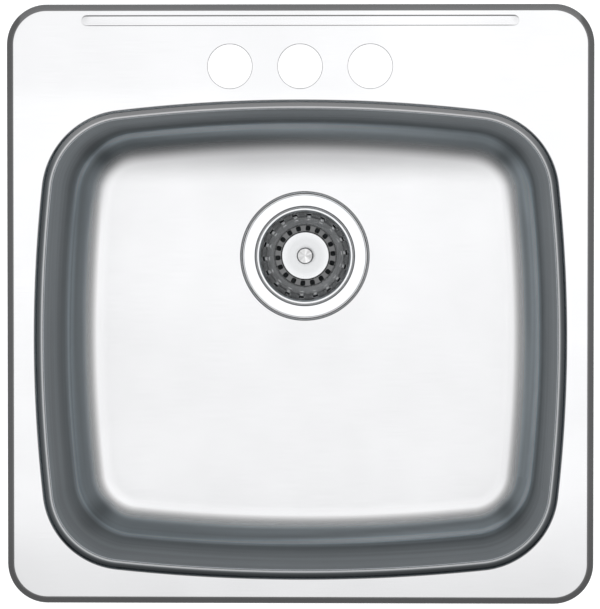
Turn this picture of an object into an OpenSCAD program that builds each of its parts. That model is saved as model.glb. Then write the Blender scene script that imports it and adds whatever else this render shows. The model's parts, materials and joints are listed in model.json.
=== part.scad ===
// Drop-in kitchen sink with one bowl, a faucet ledge and a basket strainer.
// Millimetres. +Z is up, +Y is the rear (the faucet ledge) and +X is the right-hand side.
// The origin is the middle of the rim in plan, on the plane of the countertop.

/* [Rim and deck] */
// Overall width of the rim, left to right
rim_w = 511.2; // [440:0.1:700]
// Overall depth of the rim, front to rear
rim_d = 522.3; // [460:0.1:700]
// Corner radius of the rim's outer edge
rim_corner_r = 35; // [25:0.5:60]
// Width of the sloping band round the rim
rim_bevel_w = 6; // [5:0.1:7.5]
// Height of the deck's top above the countertop
deck_h = 4.5; // [3.5:0.1:6]
// Thickness of the drawn steel sheet
sheet = 1; // [0.7:0.05:1.4]
// How far the countertop's cut-out edge lies inside the rim's outer edge
cutout_inset = 7.95; // [7.5:0.05:9]

/* [Bowl] */
// Deck left and right of the bowl, at the widest place of the bowl
side_margin = 23.3; // [19:0.1:60]
// Deck in front of the bowl
front_margin = 20.95; // [20:0.05:60]
// Deck behind the bowl, where the faucet stands
rear_ledge = 82.95; // [70:0.05:120]
// Depth of the bowl below the deck's top
bowl_depth = 203; // [150:1:260]
// Radius of the long arcs at the left and right
side_arc_r = 1237; // [900:1:2000]
// Radius of the long arc at the rear
rear_arc_r = 1370; // [900:1:2000]
// Radius of the long arc at the front
front_arc_r = 1535; // [900:1:2000]
// Radius of the two rear corners of the bowl
rear_corner_r = 74.3; // [60:0.1:100]
// Radius of the two front corners of the bowl
front_corner_r = 72; // [60:0.1:100]
// Lean of the bowl's walls, in degrees
wall_draft = 2.7; // [1:0.1:5]
// Radius between the walls and the floor
floor_fillet_r = 29; // [15:0.5:36]

/* [Deck features] */
// Number of faucet holes
faucet_holes = 3; // [1:1:4]
// Radius of each faucet hole
faucet_hole_r = 19.05; // [15:0.05:20]
// Distance between neighbouring faucet holes
faucet_spacing = 61; // [45:0.5:75]
// Distance from the rim's rear edge to the faucet holes' centres
faucet_from_rear = 54.15; // [42:0.05:60]
// Length of the pressed bead behind the faucet holes
bead_l = 381; // [200:1:400]
// Width of the pressed bead
bead_w = 9.4; // [6:0.1:12]
// Height of the pressed bead above the deck
bead_h = 0.9; // [0.4:0.1:1.5]

/* [Drain] */
// Distance from the bowl's rear edge to the drain's centre
drain_from_rear = 138.2; // [130:0.1:210]
// Radius of the hole for the strainer
drain_hole_r = 44.45; // [42:0.05:48]
// Depth of the recess round the drain
recess_depth = 2.2; // [1.5:0.1:3]
// Width of the recess's sloping edge
recess_slope_w = 3.2; // [2:0.1:5]

/* [Strainer] */
// Radius of the strainer's flange
flange_r = 57.15; // [54:0.05:62]
// Thickness of the strainer's flange
flange_t = 1.3; // [1:0.1:2]
// Thickness of the sealing ring under the flange
flange_seal_t = 1; // [0.9:0.1:1.3]
// Wall thickness of the strainer's cup
cup_wall = 1; // [0.8:0.1:1.5]
// Depth of the strainer's cup below the flange's underside
cup_depth = 40.7; // [38:0.1:55]
// Inner radius of the outlet below the cup
outlet_r = 20.3; // [20:0.1:21]
// Thickness of the outlet's threaded wall
outlet_wall = 3.3; // [2.5:0.1:4]
// Length of the threaded outlet
outlet_l = 26; // [22:0.5:35]
// Thickness of the rubber gasket under the bowl
gasket_t = 3; // [2:0.5:5]
// Thickness of the fibre ring under the gasket
friction_ring_t = 1; // [0.5:0.1:2]
// Height of the large locknut
locknut_h = 12; // [8:0.5:18]
// Number of lugs round the locknut
locknut_lugs = 8; // [4:1:12]
// Outer radius of the tailpiece
tailpiece_r = 19.05; // [18:0.05:19.2]
// Wall thickness of the tailpiece
tailpiece_wall = 0.9; // [0.7:0.1:1.5]
// Length of the tailpiece
tailpiece_l = 101.6; // [80:0.1:200]

/* [Basket] */
// Outer radius of the basket's rim
basket_rim_r = 45.2; // [44.5:0.1:45.8]
// Thickness of the basket's sheet
basket_sheet = 0.8; // [0.6:0.1:1]
// Depth of the basket below its rim
basket_depth = 28.8; // [22:0.1:30]
// Radius of the flat middle of the basket
basket_centre_r = 22; // [18:0.5:22]
// Number of slots in each ring
slot_count = 18; // [12:1:24]
// Width of each slot in the basket's floor
slot_w = 3.8; // [1.5:0.1:4.5]
// Width of each slot in the basket's wall
wall_slot_w = 4.7; // [1.5:0.1:6]
// Height of each slot in the basket's wall
wall_slot_h = 6.3; // [4:0.1:8]
// Angle of the first slot, in degrees
slot_phase = 4.6; // [0:0.1:20]
// Radius of the knob
knob_r = 7.7; // [6:0.1:10]
// Height of the knob
knob_h = 11; // [8:0.5:14]
// Radius of the stem below the knob
stem_r = 3; // [2.5:0.1:3.5]
// Thickness of the rubber stopper
stopper_t = 4; // [3:0.1:5]

/* [Mounting clips] */
// Distance from the rim's outer edge to the middle of each rail
rail_inset = 14.5; // [14.3:0.1:14.9]
// Outer width and height of a rail
rail_size = 9; // [8:0.1:9.4]
// Length of each rail
rail_l = 200; // [120:1:260]
// Width of the rail's slot
rail_slot_w = 3.4; // [3:0.1:4]
// Thickness of a clip's strap
strap_t = 1.6; // [1.2:0.1:2]
// Width of a clip's strap
strap_w = 8; // [6:0.5:12]
// Height of a clip's toe when slack, below the countertop plane
clip_grip = 46; // [40:1:60]
// Distance that a clip's screw can lift its foot
clip_travel = 20; // [10:1:20]
// Thickness of a clip's foot
foot_t = 2.5; // [2:0.1:3]
// Width of a clip's foot
foot_w = 16; // [14:0.5:20]
// Radius of a clip's screw
screw_r = 2.5; // [2:0.1:3]

/* [Sound pad] */
// Thickness of the sound pad
pad_t = 2; // [1:0.5:4]
// Distance from the flat floor's edge to the pad
pad_margin = 22; // [15:1:50]

/* [Hidden] */
// Room between a moving piece and the piece it moves in
slide_gap = 0.35;
// Room round a turning or sliding stem
stem_gap = 0.15;
// Overlap of joined lengths of one sheet
lap = 1.5;
// How much thicker a corner length is than the sides that run into it
corner_skin = 0.02;

deck_under = deck_h - sheet;
bowl_w = rim_w - 2 * side_margin;
bowl_d = rim_d - rear_ledge - front_margin;
bowl_y = rim_d / 2 - rear_ledge - bowl_d / 2;
floor_z = deck_h - bowl_depth;
drain_y = rim_d / 2 - rear_ledge - drain_from_rear;

// The bowl's wall, from the deck inwards: [inset, height above the deck's top]
lip_curve = [[0, 0], [1.1, -0.4], [2.2, -1.6], [2.9, -3.2], [3.4, -4.2], [4.2, -4.7],
             [5.5, -5.1], [6.7, -5.9], [7.5, -7.2], [8, -9]];
lip_end = lip_curve[len(lip_curve) - 1];
fillet_steps = 8;
fillet_start_z = floor_fillet_r * (1 - sin(wall_draft)) - bowl_depth;
fillet_start_s = lip_end.x + (lip_end.y - fillet_start_z) * tan(wall_draft);
fillet_centre_s = fillet_start_s + floor_fillet_r * cos(wall_draft);
function wall_curve(flange) = concat([[-flange, 0]], lip_curve,
    [for (i = [0:fillet_steps])
        let (a = 180 + wall_draft + i * (90 - wall_draft) / fillet_steps)
        [fillet_centre_s + floor_fillet_r * cos(a),
         floor_fillet_r - bowl_depth + floor_fillet_r * sin(a)]],
    [[fillet_centre_s + flange, -bowl_depth]]);

// The drain recess, from the floor inwards: [radius, height above the floor]
recess_r = flange_r + 0.65;
recess_curve = [[recess_r + recess_slope_w + 2 * lap, 0], [recess_r + recess_slope_w, 0],
                [recess_r, -recess_depth], [drain_hole_r, -recess_depth]];

// Heights of the strainer's stack
seat_z = floor_z - recess_depth;
flange_under = seat_z + flange_seal_t;
flange_top = flange_under + flange_t;
cup_r = drain_hole_r - slide_gap;
ledge_r = basket_rim_r + 1;
ledge_z = seat_z + sheet + 0.1;
cup_floor_z = flange_under - cup_depth;
outlet_end_z = cup_floor_z - cup_wall - outlet_l;
nut_r = outlet_r + outlet_wall;
gasket_z = seat_z - sheet - gasket_t;
ring_z = gasket_z - friction_ring_t;
washer_t = 2;
tail_top_z = outlet_end_z - washer_t;
tail_flange_t = 1.2;
tail_flange_r = nut_r - 0.4;
nut_lip = 2;
neck_relief = 0.3;
neck_end_z = tail_top_z - tail_flange_t - nut_lip - 0.5;

// The basket's shape, from its rim inwards: [radius, depth below its top]
basket_top = ledge_z + basket_sheet + 0.1;
basket_throat_r = cup_r - cup_wall - 0.8;
basket_floor_r = basket_centre_r + 6.5;
wall_slot_base = 12.95 - basket_depth;
basket_curve = [[basket_rim_r, 0], [basket_throat_r + 0.5, 0],
                [basket_throat_r - 0.9, -1.3], [basket_throat_r - 5.1, 9.8 - basket_depth],
                [basket_throat_r - 6.3, 6.4 - basket_depth], [basket_throat_r - 8, 4.6 - basket_depth],
                [basket_floor_r, 0.8 - basket_depth], [basket_centre_r + 1, -basket_depth],
                [basket_centre_r, 1.3 - basket_depth], [stem_r + stem_gap, 1.3 - basket_depth]];
basket_centre_z = basket_top + 1.3 - basket_depth;
basket_under_z = basket_top - basket_depth - basket_sheet;
stopper_top_z = basket_under_z - 0.4;
stopper_r = outlet_r + 2.7;
stopper_travel = stopper_top_z - stopper_t - cup_floor_z - slide_gap;
hub_top_z = cup_floor_z - 2.5;
hub_h = 2.5;
stem_end_z = hub_top_z + 0.8;
knob_base_z = basket_centre_z + 0.3 + stopper_travel;

// Heights of a mounting clip, in its rail's frame
rail_wall = 1;
rail_bottom = deck_under - rail_size;
toe_h = 10;
foot_top = -clip_grip - toe_h;
foot_under = foot_top - foot_t;
tab_t = 2;
tab_top = -clip_travel - tab_t;
clip_back = 11.5;
screw_x = -7;
screw_end = 0.6;
screw_head_h = 4;
screw_head_r = 4.6;

// ---- Helpers -------------------------------------------------------------------------

function unit(v) = v / norm(v);
function left_normal(v) = [-v.y, v.x];
// Normal at point i of an open path, as the mean of the two stretches that meet there
function path_normal(path, i) =
    let (before = unit(path[max(i, 1)] - path[max(i, 1) - 1]),
         after = unit(path[min(i + 1, len(path) - 1)] - path[min(i + 1, len(path) - 1) - 1]),
         n = left_normal(before) + left_normal(after))
    n * 2 / (n * n);
// An open path moved sideways by a distance
function shifted(path, distance) =
    [for (i = [0:len(path) - 1]) path[i] + distance * path_normal(path, i)];
function reversed(list) = [for (i = [len(list) - 1:-1:0]) list[i]];

// A sheet that follows an open path, between two distances to its left
module ribbon(path, near, far)
    polygon(concat(shifted(path, near), reversed(shifted(path, far))));

// Centre of a corner arc that touches a side arc and an end arc, all about the bowl's middle
function corner_centre(half_w, half_d, side_r, end_r, r) =
    let (side = [half_w - side_r, 0], end = [0, half_d - end_r], apart = norm(end - side),
         u = (end - side) / apart,
         along = ((side_r - r) ^ 2 - (end_r - r) ^ 2 + apart ^ 2) / (2 * apart))
    side + u * along + left_normal(u) * sqrt((side_r - r) ^ 2 - along ^ 2);

rear_centre = corner_centre(bowl_w / 2, bowl_d / 2, side_arc_r, rear_arc_r, rear_corner_r);
front_centre = corner_centre(bowl_w / 2, bowl_d / 2, side_arc_r, front_arc_r, front_corner_r);

// Angle, seen from a side arc's centre, at which it meets a corner arc
function side_angle(c) = atan2(c.y, c.x - bowl_w / 2 + side_arc_r);
// Angle, seen from an end arc's centre, at which it meets a corner arc
function end_angle(c, end_r) = atan2(c.y - bowl_d / 2 + end_r, c.x);

// Turns a profile of [inset, height] along an arc
module arc_run(radius, from, to, fn)
    rotate([0, 0, from])
        rotate_extrude(angle = to - from, $fn = fn)
            translate([radius, 0])
                mirror([1, 0])
                    children();

// Left and right copies
module both_sides() {
    children();
    mirror([1, 0, 0]) children();
}

// One end of the bowl: its end arc and two corners, drawn at the +Y end
module bowl_end(centre, corner_r, end_r) {
    side_a = side_angle(centre);
    end_a = end_angle(centre, end_r);
    run_in = lap * 180 / PI / end_r;
    translate([0, bowl_d / 2 - end_r, 0])
        arc_run(end_r, end_a - run_in, 180 - end_a + run_in, 1080)
            ribbon(wall_curve(2 * lap), 0, -sheet);
    both_sides()
        translate([centre.x, centre.y, 0])
            arc_run(corner_r, side_a, end_a, 120)
                ribbon(wall_curve(2 * lap + 0.4), corner_skin, -sheet - corner_skin);
}

module bowl_walls() {
    run_in = lap * 180 / PI / side_arc_r;
    both_sides()
        translate([bowl_w / 2 - side_arc_r, 0, 0])
            arc_run(side_arc_r, -side_angle(front_centre) - run_in,
                    side_angle(rear_centre) + run_in, 1080)
                ribbon(wall_curve(2 * lap), 0, -sheet);
    bowl_end(rear_centre, rear_corner_r, rear_arc_r);
    mirror([0, 1, 0]) bowl_end(front_centre, front_corner_r, front_arc_r);
}

// The part of the outline that a corner arc rounds off, drawn at the +X +Y corner
module corner_wedge(centre, end_r) {
    side = [bowl_w / 2 - side_arc_r, 0];
    end = [0, bowl_d / 2 - end_r];
    reach = bowl_w;
    polygon([centre, centre + unit(centre - side) * reach,
             centre + [reach, reach], centre + unit(centre - end) * reach]);
}

// The bowl's outline in plan, moved inwards by an inset. Its corners are drawn a little
// inside the true ones, where the wall's flange covers the edge.
module bowl_outline(inset) {
    tuck = [0.5, 0.5];
    rear = rear_centre - tuck;
    front = front_centre - tuck;
    difference() {
        intersection() {
            translate([bowl_w / 2 - side_arc_r, 0]) circle(side_arc_r - inset, $fn = 1440);
            translate([side_arc_r - bowl_w / 2, 0]) circle(side_arc_r - inset, $fn = 1440);
            translate([0, bowl_d / 2 - rear_arc_r]) circle(rear_arc_r - inset, $fn = 1440);
            translate([0, front_arc_r - bowl_d / 2]) circle(front_arc_r - inset, $fn = 1440);
        }
        for (side = [0, 1]) {
            mirror([side, 0]) corner_wedge(rear, rear_arc_r);
            mirror([side, 0]) mirror([0, 1]) corner_wedge(front, front_arc_r);
        }
    }
    for (side = [-1, 1]) {
        translate([side * rear.x, rear.y]) circle(rear_corner_r - inset, $fn = 180);
        translate([side * front.x, -front.y]) circle(front_corner_r - inset, $fn = 180);
    }
}

// Rim outline in plan, moved inwards by an inset
module rim_outline(inset) {
    r = rim_corner_r - inset;
    square([rim_w - 2 * rim_corner_r, rim_d - 2 * inset], center = true);
    square([rim_w - 2 * inset, rim_d - 2 * rim_corner_r], center = true);
    for (sx = [-1, 1], sy = [-1, 1])
        translate([sx * (rim_w / 2 - rim_corner_r), sy * (rim_d / 2 - rim_corner_r)])
            circle(r, $fn = 120);
}

// Runs a profile of [inset, height] all the way round the rim
module round_the_rim() {
    half = [rim_w / 2, rim_d / 2];
    for (k = [0:3]) {
        reach = half[k % 2];
        length = 2 * (half[(k + 1) % 2] - rim_corner_r);
        rotate([0, 0, 90 * k])
            translate([reach, length / 2, 0])
                rotate([90, 0, 0])
                    linear_extrude(length)
                        mirror([1, 0])
                            children();
        rotate([0, 0, 90 * k])
            translate([reach - rim_corner_r, length / 2, 0])
                arc_run(rim_corner_r, 0, 90, 120)
                    children();
    }
}

// A ring between two radii and two heights, about the drain
module drain_ring(inner, outer, low, high)
    translate([0, drain_y, low])
        difference() {
            cylinder(r = outer, h = high - low, $fn = 180);
            translate([0, 0, -1]) cylinder(r = inner, h = high - low + 2, $fn = 180);
        }

// Turns a profile of [radius, height] about the drain
module drain_turn()
    translate([0, drain_y, 0])
        rotate_extrude($fn = 180)
            children();

// ---- Sheet-metal shell ---------------------------------------------------------------

// Pressed bead: a low ridge with sloping sides and round ends
module bead_form(half_w) {
    top_half = half_w * 0.45;
    straight = bead_l - bead_w;
    profile = [[0, 0], [half_w, 0], [top_half, bead_h], [0, bead_h]];
    translate([-straight / 2, 0, 0])
        rotate([90, 0, 90])
            linear_extrude(straight)
                union() {
                    polygon(profile);
                    mirror([1, 0]) polygon(profile);
                }
    for (side = [0, 1])
        rotate([0, 0, 180 * side])
            translate([straight / 2, 0, 0])
                rotate([0, 0, -90])
                    rotate_extrude(angle = 180, $fn = 60)
                        polygon(profile);
}

module bead_place(height)
    translate([0, rim_d / 2 - rail_inset, height])
        children();

module faucet_places()
    for (i = [0:faucet_holes - 1])
        translate([(i - (faucet_holes - 1) / 2) * faucet_spacing, rim_d / 2 - faucet_from_rear, 0])
            children();

module rim_band()
    round_the_rim()
        polygon([[0, 0.3], [0, 1.4], [rim_bevel_w, deck_h], [rim_bevel_w + 2 * lap, deck_h],
                 [rim_bevel_w + 2 * lap, deck_under], [rim_bevel_w + 0.3, deck_under],
                 [sheet, 0.8], [sheet, 0.3]]);

module deck_plate()
    translate([0, 0, deck_under])
        linear_extrude(sheet)
            difference() {
                rim_outline(rim_bevel_w + lap);
                translate([0, bowl_y]) bowl_outline(-lap);
            }

module floor_plate()
    translate([0, bowl_y, floor_z - sheet])
        linear_extrude(sheet)
            difference() {
                bowl_outline(fillet_centre_s + lap);
                translate([0, drain_y - bowl_y])
                    circle(recess_r + recess_slope_w + lap, $fn = 180);
            }

module drain_recess()
    drain_turn()
        translate([0, floor_z])
            ribbon(recess_curve, 0, sheet);

module sink_shell()
    color("silver")
        difference() {
            union() {
                rim_band();
                deck_plate();
                translate([0, bowl_y, deck_h]) bowl_walls();
                floor_plate();
                drain_recess();
                bead_place(deck_h) bead_form(bead_w / 2);
            }
            bead_place(deck_under) bead_form(bead_w / 2 - 1);
            faucet_places()
                translate([0, 0, -1])
                    cylinder(r = faucet_hole_r, h = deck_h + 2, $fn = 120);
        }

// Sealing strip that fills the rim's underside and rests on the countertop
module rim_seal()
    color("darkgray")
        round_the_rim()
            polygon([[sheet + 0.2, 0], [cutout_inset - 0.35, 0], [cutout_inset - 0.35, deck_under],
                     [rim_bevel_w + 0.3, deck_under],
                     [sheet + 0.2, 0.8 + 0.2 * (deck_under - 0.8) / (rim_bevel_w + 0.3 - sheet)]]);

module sound_pad()
    color("dimgray")
        translate([0, bowl_y, floor_z - sheet - pad_t])
            linear_extrude(pad_t)
                difference() {
                    square([bowl_w - 2 * (fillet_centre_s + pad_margin),
                            bowl_d - 2 * (fillet_centre_s + pad_margin)], center = true);
                    translate([0, drain_y - bowl_y])
                        circle(recess_r + recess_slope_w + 9, $fn = 180);
                }

// ---- Strainer ------------------------------------------------------------------------

module strainer_body()
    color("gainsboro")
        drain_turn()
            polygon([[flange_r, flange_under + 0.3], [flange_r, flange_top - 0.5],
                     [flange_r - 1.2, flange_top], [ledge_r + 0.6, flange_top],
                     [ledge_r, flange_top - 0.4], [ledge_r, ledge_z],
                     [cup_r - cup_wall, ledge_z], [cup_r - cup_wall, cup_floor_z],
                     [outlet_r, cup_floor_z], [outlet_r, outlet_end_z],
                     [nut_r, outlet_end_z], [nut_r, cup_floor_z - cup_wall - 3],
                     [nut_r + 3, cup_floor_z - cup_wall], [cup_r, cup_floor_z - cup_wall],
                     [cup_r, seat_z + 0.1], [ledge_r + 0.8, seat_z + 0.1],
                     [ledge_r + 0.8, flange_under], [flange_r - 0.3, flange_under]]);

module flange_seal()
    color("gray")
        drain_ring(ledge_r + 1, flange_r - 1.5, seat_z, flange_under);

// Bottom screen: a disc with six windows, which leave six arms and a hub for the stem
module strainer_crossbar() {
    arms = 6;
    arm_w = 2;
    half_a = 180 / arms;
    apex = arm_w / 2 / sin(half_a);
    reach = 2 * outlet_r;
    color("gainsboro")
        translate([0, drain_y, hub_top_z - hub_h])
            difference() {
                cylinder(r = outlet_r, h = hub_h, $fn = 120);
                translate([0, 0, -1]) cylinder(r = stem_r + 1.3, h = hub_h + 2, $fn = 60);
                for (i = [0:arms - 1])
                    translate([0, 0, -1])
                        rotate([0, 0, (i + 0.5) * 360 / arms])
                            linear_extrude(hub_h + 2)
                                intersection() {
                                    difference() {
                                        circle(outlet_r - 1.8, $fn = 120);
                                        circle(stem_r + 4, $fn = 60);
                                    }
                                    polygon([[apex, 0],
                                             [apex + reach * cos(half_a), reach * sin(half_a)],
                                             [apex + reach * cos(half_a), -reach * sin(half_a)]]);
                                }
            }
}

module strainer_gasket()
    color("dimgray")
        drain_ring(cup_r + 0.4, flange_r + 0.5, gasket_z, seat_z - sheet);

module friction_ring()
    color("tan")
        drain_ring(cup_r + 0.3, flange_r - 0.5, ring_z, gasket_z);

module strainer_locknut()
    color("darkgray")
        difference() {
            union() {
                drain_ring(cup_r - 1, flange_r - 1, ring_z - 3, ring_z);
                drain_ring(cup_r - 1, cup_r + 4, ring_z - locknut_h, ring_z - 2);
                for (i = [0:locknut_lugs - 1])
                    translate([0, drain_y, ring_z - locknut_h])
                        rotate([0, 0, 360 / locknut_lugs * i])
                            translate([cup_r + 1, -3, 0])
                                cube([7, 6, locknut_h - 1]);
            }
            translate([0, drain_y, ring_z - locknut_h - 1])
                cylinder(r = cup_r + 0.1, h = locknut_h + 2, $fn = 180);
        }

module tailpiece_washer()
    color("white")
        drain_ring(tailpiece_r - tailpiece_wall + 0.4, tail_flange_r, tail_top_z, outlet_end_z);

module tailpiece()
    color("silver")
        drain_turn()
            polygon([[tailpiece_r - tailpiece_wall, tail_top_z], [tail_flange_r, tail_top_z],
                     [tail_flange_r, tail_top_z - tail_flange_t],
                     [tailpiece_r - neck_relief, tail_top_z - tail_flange_t],
                     [tailpiece_r - neck_relief, neck_end_z],
                     [tailpiece_r, neck_end_z - neck_relief],
                     [tailpiece_r, tail_top_z - tailpiece_l],
                     [tailpiece_r - tailpiece_wall, tail_top_z - tailpiece_l]]);

module coupling_nut() {
    lip_z = tail_top_z - tail_flange_t;
    low = lip_z - nut_lip;
    high = outlet_end_z + 15;
    bore = nut_r + 0.1;
    color("darkgray") {
        drain_turn()
            polygon([[tailpiece_r + 0.3, low], [bore + 3, low], [bore + 3, high], [bore, high],
                     [bore, lip_z], [tailpiece_r + 0.3, lip_z]]);
        translate([0, drain_y, low + 3])
            difference() {
                cylinder(r = bore + 7, h = high - low - 6, $fn = 8);
                translate([0, 0, -1]) cylinder(r = bore + 1.5, h = high - low, $fn = 120);
            }
    }
}

// ---- Basket and stopper --------------------------------------------------------------

module slot_places()
    for (i = [0:slot_count - 1])
        translate([0, drain_y, basket_top])
            rotate([0, 0, slot_phase + 360 / slot_count * i])
                children();

module basket_cup()
    color("lightgray")
        difference() {
            drain_turn()
                translate([0, basket_top])
                    ribbon(basket_curve, 0, basket_sheet);
            slot_places()
                translate([basket_throat_r - 9, -wall_slot_w / 2, wall_slot_base])
                    cube([12, wall_slot_w, wall_slot_h]);
            slot_places()
                translate([basket_centre_r + 1.6, -slot_w / 2, -basket_depth - 3])
                    cube([basket_floor_r - basket_centre_r - 2, slot_w, 6]);
        }

module basket_post()
    color("silver")
        translate([0, drain_y, stem_end_z])
            cylinder(r = stem_r, h = knob_base_z - stem_end_z, $fn = 60);

module basket_knob()
    color("silver")
        drain_turn()
            translate([0, knob_base_z])
                polygon([[0, 0], [knob_r - 3.2, 0], [knob_r - 3.6, knob_h * 0.35],
                         [knob_r - 1, knob_h * 0.6], [knob_r, knob_h * 0.72],
                         [knob_r, knob_h * 0.88], [knob_r - 0.8, knob_h], [0, knob_h]]);

module stopper_seal()
    color("dimgray")
        drain_turn()
            polygon([[stem_r, stopper_top_z], [stopper_r, stopper_top_z],
                     [stopper_r, stopper_top_z - stopper_t + 1],
                     [stopper_r - 3, stopper_top_z - stopper_t], [stem_r, stopper_top_z - stopper_t]]);

module stopper_washer()
    color("silver")
        drain_ring(stem_r, stem_r + 5, stopper_top_z - stopper_t - 0.8, stopper_top_z - stopper_t);

module post_spring_clip()
    color("silver")
        drain_ring(stem_r, stem_r + 0.9, stem_end_z + 0.4, stem_end_z + 1.4);

// ---- Mounting rails and clips --------------------------------------------------------

// Frame of a rail: x points outwards, y runs along the rail, and z = 0 is the countertop
module on_side(side)
    rotate([0, 0, side == "right" ? 0 : side == "rear" ? 90 : side == "left" ? 180 : -90])
        translate([(side == "left" || side == "right" ? rim_w : rim_d) / 2 - rail_inset,
                   side == "right" ? bowl_y : side == "left" ? -bowl_y : 0, 0])
            children();

module rail(side)
    color("gray")
        on_side(side)
            rotate([90, 0, 0])
                linear_extrude(rail_l, center = true)
                    difference() {
                        translate([-rail_size / 2, rail_bottom]) square(rail_size);
                        translate([rail_wall - rail_size / 2, rail_bottom + rail_wall])
                            square(rail_size - 2 * rail_wall);
                        translate([-rail_slot_w / 2, rail_bottom - 1])
                            square([rail_slot_w, rail_wall + 2]);
                    }

module clip_strap(side) {
    head_w = rail_size - 2 * rail_wall - 2 * slide_gap;
    head_z = rail_bottom + rail_wall + 0.1;
    leg_bottom = foot_under - 3.5;
    color("slategray")
        on_side(side)
            difference() {
                union() {
                    translate([-head_w / 2, -strap_w / 2, head_z])
                        cube([head_w, strap_w, strap_t]);
                    translate([-strap_t / 2, -strap_w / 2, leg_bottom])
                        cube([strap_t, strap_w, head_z + strap_t - leg_bottom]);
                    translate([-clip_back, -strap_w / 2 - 1, tab_top - tab_t])
                        cube([clip_back, strap_w + 2, tab_t]);
                }
                translate([screw_x, 0, tab_top - 2 * tab_t])
                    cylinder(r = screw_r + stem_gap, h = 3 * tab_t, $fn = 60);
            }
}

module clip_foot(side) {
    toe_end = rail_inset - 1.3;
    color("slategray")
        on_side(side)
            difference() {
                union() {
                    translate([-clip_back, -foot_w / 2, foot_under])
                        cube([clip_back + toe_end, foot_w, foot_t]);
                    translate([toe_end - foot_t, -foot_w / 2, foot_under])
                        cube([foot_t, foot_w, foot_t + toe_h]);
                }
                translate([-strap_t / 2 - slide_gap, -strap_w / 2 - slide_gap, foot_under - 1])
                    cube([strap_t + 2 * slide_gap, strap_w + 2 * slide_gap, foot_t + 2]);
                translate([screw_x, 0, foot_under - 1])
                    cylinder(r = screw_r + stem_gap, h = foot_t + 2, $fn = 60);
            }
}

module clip_screw(side)
    color("darkgray")
        on_side(side)
            translate([screw_x, 0, foot_under - screw_head_h])
                difference() {
                    union() {
                        cylinder(r = screw_head_r, h = screw_head_h, $fn = 6);
                        cylinder(r = screw_r, h = tab_top + screw_end - foot_under + screw_head_h, $fn = 60);
                    }
                    translate([-screw_head_r - 1, -0.6, -1])
                        cube([2 * screw_head_r + 2, 1.2, 2.2]);
                }

sink_shell();
rim_seal();
rail("front");  // rail_front
rail("rear");  // rail_rear
rail("left");  // rail_left
rail("right");  // rail_right
sound_pad();
strainer_body();
flange_seal();
strainer_crossbar();
strainer_gasket();
friction_ring();
strainer_locknut();
tailpiece_washer();
tailpiece();
coupling_nut();
basket_cup();
basket_post();
basket_knob();
stopper_seal();
stopper_washer();
post_spring_clip();
clip_strap("front");  // clip_strap_front
clip_strap("rear");  // clip_strap_rear
clip_strap("left");  // clip_strap_left
clip_strap("right");  // clip_strap_right
clip_foot("front");  // clip_foot_front
clip_foot("rear");  // clip_foot_rear
clip_foot("left");  // clip_foot_left
clip_foot("right");  // clip_foot_right
clip_screw("front");  // clip_screw_front
clip_screw("rear");  // clip_screw_rear
clip_screw("left");  // clip_screw_left
clip_screw("right");  // clip_screw_right
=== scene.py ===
"""Looks of a single bowl drop-in kitchen sink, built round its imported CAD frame. Metres, +Z up, +Y rear."""
import json
import math

import bmesh
import bpy
from mathutils import Matrix, Vector


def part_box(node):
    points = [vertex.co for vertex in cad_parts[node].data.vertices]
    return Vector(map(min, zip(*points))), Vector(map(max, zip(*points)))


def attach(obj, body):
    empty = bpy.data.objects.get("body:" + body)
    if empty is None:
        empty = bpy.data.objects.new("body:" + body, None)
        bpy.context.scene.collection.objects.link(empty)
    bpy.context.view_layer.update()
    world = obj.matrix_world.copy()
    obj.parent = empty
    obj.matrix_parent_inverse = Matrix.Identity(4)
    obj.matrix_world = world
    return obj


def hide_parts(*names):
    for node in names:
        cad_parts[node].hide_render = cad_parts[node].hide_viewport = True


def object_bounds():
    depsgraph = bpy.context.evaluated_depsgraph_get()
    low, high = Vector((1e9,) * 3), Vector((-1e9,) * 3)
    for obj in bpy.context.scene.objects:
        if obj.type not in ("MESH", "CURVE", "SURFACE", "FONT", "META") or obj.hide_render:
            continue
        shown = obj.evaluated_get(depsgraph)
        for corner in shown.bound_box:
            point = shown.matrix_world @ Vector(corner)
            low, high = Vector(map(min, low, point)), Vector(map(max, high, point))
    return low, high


MM = 0.001
TURN = 2 * math.pi

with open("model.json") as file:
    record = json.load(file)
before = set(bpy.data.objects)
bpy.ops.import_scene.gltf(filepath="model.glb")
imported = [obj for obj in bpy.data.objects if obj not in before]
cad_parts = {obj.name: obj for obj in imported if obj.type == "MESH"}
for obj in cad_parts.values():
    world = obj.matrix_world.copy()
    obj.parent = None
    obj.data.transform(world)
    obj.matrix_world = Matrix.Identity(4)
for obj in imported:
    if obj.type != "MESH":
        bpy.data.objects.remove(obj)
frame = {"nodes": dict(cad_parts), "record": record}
cad_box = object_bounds()
mounts = {m["name"]: m for m in frame["record"]["mounts"]}

# ---- Sizes -----------------------------------------------------------------------------

SHEET = 1 * MM
DECK_Z = mounts["faucet_deck"]["pos_m"][2]
FLOOR_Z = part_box("sound_pad")[1].z + SHEET
RIM_W, RIM_D = (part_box("sink_shell")[1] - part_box("sink_shell")[0])[:2]
RIM_CORNER_R = 35 * MM
RIM_BEVEL_W = 6 * MM
RIM_FOOT_Z, RIM_SIDE_Z = 0.3 * MM, 1.5 * MM  # the rim's lower edge, and where its bevel starts

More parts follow.
